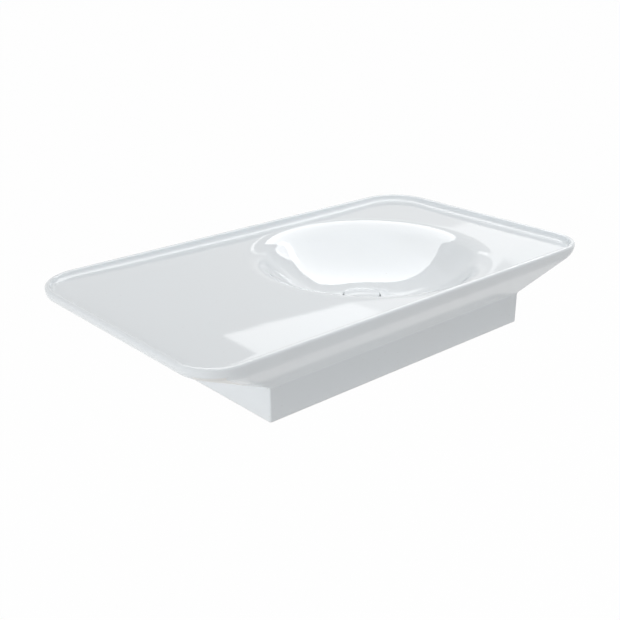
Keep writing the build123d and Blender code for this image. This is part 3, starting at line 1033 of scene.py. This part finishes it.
teeth = 8
tooth_steps = 12
tooth_height = 1.0 * mm
tooth_width = 2.6 * mm
guide_radius = 2.6 * mm
rotor_edge = 0.3 * mm
rotor_bore = guide_radius + fit_gap
rotor_radius = cup_bore - loose_gap
climb = np.arange(teeth * tooth_steps) % tooth_steps / (tooth_steps - 1)
tooth_top = rotor_top - tooth_height * (1 - climb)
deck = rotor_top - tooth_height
rotor = ring_mesh("cam_ring", [
    round_ring(radius, height, waste_axis, teeth * tooth_steps)
    for radius, height in (
        (rotor_bore, rotor_low),
        (rotor_radius - rotor_edge, rotor_low),
        (rotor_radius, rotor_low + rotor_edge),
        (rotor_radius, tooth_top),
        (rotor_radius - tooth_width, tooth_top),
        (rotor_radius - tooth_width, deck - 0.01 * mm),
        (rotor_bore, deck),
    )
])
finished(rotor, blue_acetal, "ratchet_rotor", "rotor")

carrier_gap = 2.0 * mm
boss_length = 8.0 * mm
shaft_radius = 6.0 * mm
spindle_radius = 4.0 * mm
spindle_thread = 0.6 * mm
spindle_pitch = 1.25 * mm
guide_length = 12.0 * mm
boss_low = flange_high + carrier_gap - boss_length
spindle_top = boss_low + 6.7 * mm
shaft_top = cap_top + 1.5 * mm
spindle_core = spindle_radius - spindle_thread
guide_low = collar_low - guide_length
plunger = turned("plunger_stem", [
    (0, spindle_top, 0),
    (spindle_core, spindle_top, 0.3 * mm),
    (spindle_core, shaft_top, 0.2 * mm),
    (shaft_radius, shaft_top, 0.4 * mm),
    (shaft_radius, collar_top, 0.2 * mm),
    (rotor_radius, collar_top, 0.3 * mm),
    (rotor_radius, collar_low, 0.3 * mm),
    (guide_radius, collar_low, 0.3 * mm),
    (guide_radius, guide_low, 0.6 * mm),
    (0, guide_low, 0),
], steps=64)
low = shaft_top + 0.9 * mm
high = spindle_top - 0.5 * mm
add_thread(plunger, white_acetal, spindle_radius, spindle_thread, spindle_pitch, low, high)
finished(plunger, white_acetal, "plunger", "plug")

notch_width = 2.5 * mm
notch_depth = 1.2 * mm
cap_bore = shaft_radius + fit_gap
spigot_radius = cup_bore - fit_gap
cap = turned("screwed_cap", [
    (cap_bore, cup_top - cap_spigot, 0.3 * mm),
    (spigot_radius, cup_top - cap_spigot, 0.3 * mm),
    (spigot_radius, cup_top, 0.1 * mm),
    (cartridge_radius, cup_top, 0.2 * mm),
    (cartridge_radius, cap_top, 0.7 * mm),
    (cap_bore, cap_top, 0.4 * mm),
])
slot_tool = empty_piece("slot_tool")
slot_length = 2 * cartridge_radius + 2.0 * mm
add_block(slot_tool, (slot_length, notch_width, 2 * notch_depth), (0, 0, cap_top), 0, 0.2 * mm)
notch = cap.modifiers.new("notch", "BOOLEAN")
notch.object = slot_tool
notch.operation = "DIFFERENCE"
baked(cap)
bpy.data.objects.remove(slot_tool)
finished(cap, grey_plastic, "cartridge_cap", "basin")

# Plug
# The carrier is a brass disc with a boss, screwed on the plunger's thread and held by a locknut.
# A rubber ring in the boss closes the throat.
carrier_radius = 29.5 * mm
carrier_thickness = 2.0 * mm
boss_radius = 17.4 * mm
boss_thread_length = 7.0 * mm
groove_radius = 16.8 * mm
groove_width = 2.0 * mm
groove = flange_high - 3.6 * mm
carrier_low = flange_high + carrier_gap
carrier_high = carrier_low + carrier_thickness
groove_high = groove + groove_width / 2
groove_low = groove - groove_width / 2
spindle_hole = spindle_radius + fit_gap
carrier = turned("brass_carrier", [
    (0, carrier_high, 0),
    (carrier_radius, carrier_high, 0.4 * mm),
    (carrier_radius, carrier_low, 0.4 * mm),
    (boss_radius, carrier_low, 0.3 * mm),
    (boss_radius, groove_high, 0.15 * mm),
    (groove_radius, groove_high, 0.15 * mm),
    (groove_radius, groove_low, 0.15 * mm),
    (boss_radius, groove_low, 0.15 * mm),
    (boss_radius, boss_low, 0.6 * mm),
    (spindle_hole, boss_low, 0.4 * mm),
    (spindle_hole, boss_low + boss_thread_length, 0.2 * mm),
    (0, boss_low + boss_thread_length, 0),
])
finished(carrier, brass, "cover_carrier", "plug")

seal_section = 0.8 * mm
seal_middle = tail_bore - fit_gap - seal_section
section_angles = np.linspace(0, 2 * pi, 19)[:-1]
plug_seal = ring_mesh("throat_ring", [
    round_ring(seal_middle + seal_section * cos(a), groove + seal_section * sin(a), waste_axis)
    for a in section_angles
])
finished(plug_seal, black_rubber, "plug_seal", "plug")

locknut_flats = 13.0 * mm
locknut_low = boss_low - 4.0 * mm
locknut = hexagon_nut("thin_locknut", locknut_flats, spindle_hole, locknut_low, boss_low)
finished(locknut, brass, "spindle_locknut", "plug", crease=25)

# Waste cover
# A round cap of the same glazed ceramic, slightly domed with a soft edge. It is hollow under its
# skirt, where a soft adhesive disc bonds it to the carrier.
foam = rubber("adhesive_foam", (0.84, 0.84, 0.81, 1), (0.76, 0.75, 0.71, 1))
disc_radius = 26.0 * mm
cover_ceiling = carrier_high + 0.6 * mm
cover_pad = turned("adhesive_disc", [
    (0, carrier_high, 0),
    (disc_radius, carrier_high, 0.25 * mm),
    (disc_radius, cover_ceiling, 0.25 * mm),
    (0, cover_ceiling, 0),
])
finished(cover_pad, foam, "cover_pad", "plug")

cover_low = flange_high + 1.8 * mm
cover_radius = 34.0 * mm
cover_shoulder = cover_low + 4.4 * mm
cover_dome = 1.8 * mm
skirt_bore = cover_radius - 3.5 * mm
dome_radius = (cover_radius**2 + cover_dome**2) / (2 * cover_dome)
dome = [
    (reach, cover_shoulder + cover_dome - dome_radius + sqrt(dome_radius**2 - reach**2), 0)
    for reach in np.linspace(0, cover_radius - 2.0 * mm, 12)
]
cover = turned("ceramic_cover", dome + [
    (cover_radius, cover_shoulder, 1.6 * mm),
    (cover_radius, cover_low, 0.9 * mm),
    (skirt_bore, cover_low, 0.7 * mm),
    (skirt_bore, cover_ceiling, 0.4 * mm),
    (0, cover_ceiling, 0),
], steps=144)
heights = np.array([vertex.co.z for vertex in cover.data.vertices])
reaches = about(np.array([vertex.co.xy for vertex in cover.data.vertices]), waste_axis)[0]
hollow = (heights < cover_ceiling + 2 * fit_gap) & (reaches < skirt_bore + hair)
under = (heights < cover_low + 2 * fit_gap) | hollow
bare = cover.data.attributes.new("bare", "FLOAT", "POINT")
bare.data.foreach_set("value", np.where(under, 1.0, 0.0))
finished(cover, glaze, "waste_cover", "plug")

# Wall fixings
# Two M10 hanger bolts go into plugs in the wall and through nylon sleeves in the ceramic, with a
# large washer and a nut behind the plinth. All of the steel is zinc plated.
zinc = metal("zinc_plate", (0.70, 0.71, 0.72, 1), (0.60, 0.61, 0.60, 1), 0.28)
white_nylon = plastic("white_nylon", (0.87, 0.87, 0.84, 1), (0.82, 0.82, 0.78, 1), 0.42)


def fixing_recipe():
    """Lays an upright piece towards the room and repeats it at each fixing."""
    recipe = Recipe("fixings", {"Spacing": "Float", "Count": "Int"})
    spacing = recipe.given("Spacing")
    sockets = {"Geometry": recipe.given("Geometry"), "Rotation": (pi / 2, 0, 0)}
    laid = recipe.node("GeometryNodeTransform", {}, sockets)
    count = recipe.given("Count")
    first = recipe.node("ShaderNodeCombineXYZ", {}, {"X": spacing * (count - 1) * -0.5})
    step = recipe.node("ShaderNodeCombineXYZ", {}, {"X": spacing})
    sockets = {"Count": count, "Start Location": first, "Offset": step}
    row = recipe.node("GeometryNodeMeshLine", {}, sockets)
    placed = recipe.node("GeometryNodeInstanceOnPoints", {}, {"Points": row, "Instance": laid})
    recipe.result(placed)
    return recipe


fixings = fixing_recipe()


def fix(piece, finish, node):
    """Put a fixing piece at both bolts."""
    fixings.run(piece, finish, {"Spacing": fixing_places[1] - fixing_places[0], "Count": 2})
    finished(piece, finish, node, "basin", crease=30)


middle = (0, 0)
bolt_point = -65.0 * mm
bolt_end = 30.5 * mm
screw_core = 3.5 * mm
screw_start = -14.0 * mm
stud_crest = 4.9 * mm
stud_thread = 0.8 * mm
stud_core = stud_crest - stud_thread
socket_flats = 5.0 * mm
socket_floor = bolt_end - 4.0 * mm
bolt_corners = [
    (0, bolt_point, 0),
    (screw_core, bolt_point + 8.0 * mm, 1.5 * mm),
    (screw_core, screw_start, 0.8 * mm),
    (4.95 * mm, screw_start + 2.5 * mm, 0.5 * mm),
    (4.85 * mm, -0.5 * mm, 0.3 * mm),
    (stud_core, 0.4 * mm, 0.3 * mm),
    (stud_core, bolt_end - 0.3 * mm, 0.2 * mm),
    (3.7 * mm, bolt_end, 0.1 * mm),
]
bolt_rings = [round_ring(radius, height, middle, 72) for radius, height in rounded(bolt_corners)]
bolts = ring_mesh("zinc_hanger_bolts", bolt_rings + [
    hexagon_ring(socket_flats + 0.3 * mm, bolt_end, middle, 72),
    hexagon_ring(socket_flats, bolt_end - 0.2 * mm, middle, 72),
    hexagon_ring(socket_flats, socket_floor, middle, 72),
    round_ring(0, socket_floor, middle, 72),
], closed=False)
high = bolt_end - 0.9 * mm
add_thread(bolts, zinc, stud_crest, stud_thread, 1.5 * mm, 0.5 * mm, high, middle)
winding.run(bolts, zinc, {
    "Radius": screw_core,
    "Foot": bolt_point + 4.0 * mm,
    "Top": screw_start - 1.0 * mm,
    "Turns": 11.5,
    "Bar width": 3.0 * mm,
    "Bar height": 1.6 * mm,
    "Bar corners": 4,
    "Run-out turns": 1.2,
    "Steps": 600,
})
fix(bolts, zinc, "hanger_bolts")

sleeve_bore = 5.3 * mm
sleeve_start = 0.5 * mm
sleeve_radius = fixing_hole_radius - loose_gap
sleeve_flange = 19.0 * mm
sleeve_end = ceramic_wall + 3.0 * mm
sleeves = turned("nylon_sleeves", [
    (sleeve_bore, sleeve_start, 0.3 * mm),
    (sleeve_radius, sleeve_start, 0.6 * mm),
    (sleeve_radius, ceramic_wall, 0.2 * mm),
    (sleeve_flange, ceramic_wall, 0.3 * mm),
    (sleeve_flange, sleeve_end, 0.9 * mm),
    (sleeve_bore, sleeve_end, 0.4 * mm),
], middle, 72)
fix(sleeves, white_nylon, "fixing_sleeves")

washer_radius = 17.0 * mm
washer_end = sleeve_end + 2.5 * mm
washers = turned("zinc_washers", [
    (sleeve_bore, sleeve_end, 0.2 * mm),
    (washer_radius, sleeve_end, 0.5 * mm),
    (washer_radius, washer_end, 0.5 * mm),
    (sleeve_bore, washer_end, 0.3 * mm),
], middle, 72)
fix(washers, zinc, "fixing_washers")

nut_flats = 17.0 * mm
nut_end = washer_end + 8.0 * mm
nuts = hexagon_nut("zinc_nuts", nut_flats, stud_crest + fit_gap, washer_end, nut_end, middle)
fix(nuts, zinc, "fixing_nuts")

# Studio
# A pale floor far below the basin and a white surround, under soft panels. Some panels light the
# basin. The others only show in its glaze: a canopy, a window, strips, and two dim walls.
rim_above_floor = 0.850
floor_reach = 40.0
floor_height = rim_top - rim_above_floor
floor_whiteness = 0.985
floor_grey = (0.85, 0.85, 0.85, 1)
surround_glow = 0.43

floor = empty_piece("floor")
floor_corners = [
    (x * floor_reach, y * floor_reach, floor_height) for x, y in ((-1, -1), (1, -1), (1, 1), (-1, 1))
]
floor.data.from_pydata(floor_corners, [], [(0, 1, 2, 3)])
paper = Finish("paper")
white = paper.seen_directly() * floor_whiteness
matt = paper.node("ShaderNodeBsdfDiffuse", {}, {"Color": floor_grey})
plain_white = paper.node("ShaderNodeEmission", {}, {"Strength": 1.0})
mixed = paper.node("ShaderNodeMixShader", {}, {0: white, 1: matt, 2: plain_white})
paper.node("ShaderNodeOutputMaterial", {}, {"Surface": mixed})
paper.material.cycles.emission_sampling = "NONE"
paint(floor, paper)

room = bpy.data.worlds.new("studio")
scene.world = room
room.use_nodes = True
room.node_tree.nodes.clear()
air = Wiring(room.node_tree)
glow = air.seen_directly() * (1 - surround_glow) + surround_glow
pale = air.node("ShaderNodeBackground", {}, {"Color": (1, 1, 1, 1), "Strength": glow})
air.node("ShaderNodeOutputWorld", {}, {"Surface": pale})


def soft_panel(name, centre, turn, width, height, glow, seen_by):
    """Area lamp turned in degrees, whose glow of 1 looks white, seen by the body or the glaze only."""
    data = bpy.data.lights.new(name, "AREA")
    data.shape = "RECTANGLE"
    data.size = width
    data.size_y = height
    data.energy = glow * pi * width * height
    light = bpy.data.objects.new(name, data)
    light.location = centre
    light.rotation_euler = [radians(angle) for angle in turn]
    light.visible_diffuse = seen_by != "glaze"
    light.visible_glossy = seen_by != "body"
    scene.collection.objects.link(light)


down = (0, 0, 0)
to_right = (0, -90, 0)
to_left = (0, 90, 0)
to_wall = (90, 0, 0)
to_front = (-90, 0, 0)
ceiling = 2.0

# Each panel has its name, centre in metres, direction, width, height, glow and what it is seen by.
panels = (
    ("canopy", (1.10, 0.235, ceiling), down, 3.80, 2.87, 3.60, "glaze"),
    ("far_strip", (3.14, 3.25, ceiling), down, 1.22, 0.50, 1.20, "glaze"),
    ("far_strip_end", (4.62, 3.25, ceiling), down, 1.74, 0.50, 0.60, "glaze"),
    ("far_right", (5.70, 2.50, ceiling), down, 1.60, 1.00, 0.55, "glaze"),
    ("far_wall", (3.21, 3.60, 2.10), to_front, 7.58, 4.20, 0.15, "glaze"),
    ("right_wall", (7.00, 2.55, 2.10), to_left, 4.20, 2.10, 0.15, "glaze"),
    ("right_window", (2.50, -0.215, 1.55), to_left, 0.90, 0.77, 3.40, "glaze"),
    ("ceiling", (1.00, -0.80, ceiling), down, 1.90, 1.40, 2.45, "body"),
    ("left_wall", (-2.80, -0.70, 0.50), to_right, 2.20, 3.00, 1.40, "body"),
    ("front_wall", (0.20, -3.40, 0.40), to_wall, 3.40, 2.20, 0.05, "body"),
)
for panel in panels:
    soft_panel(*panel)

scene.view_settings.view_transform = "Standard"
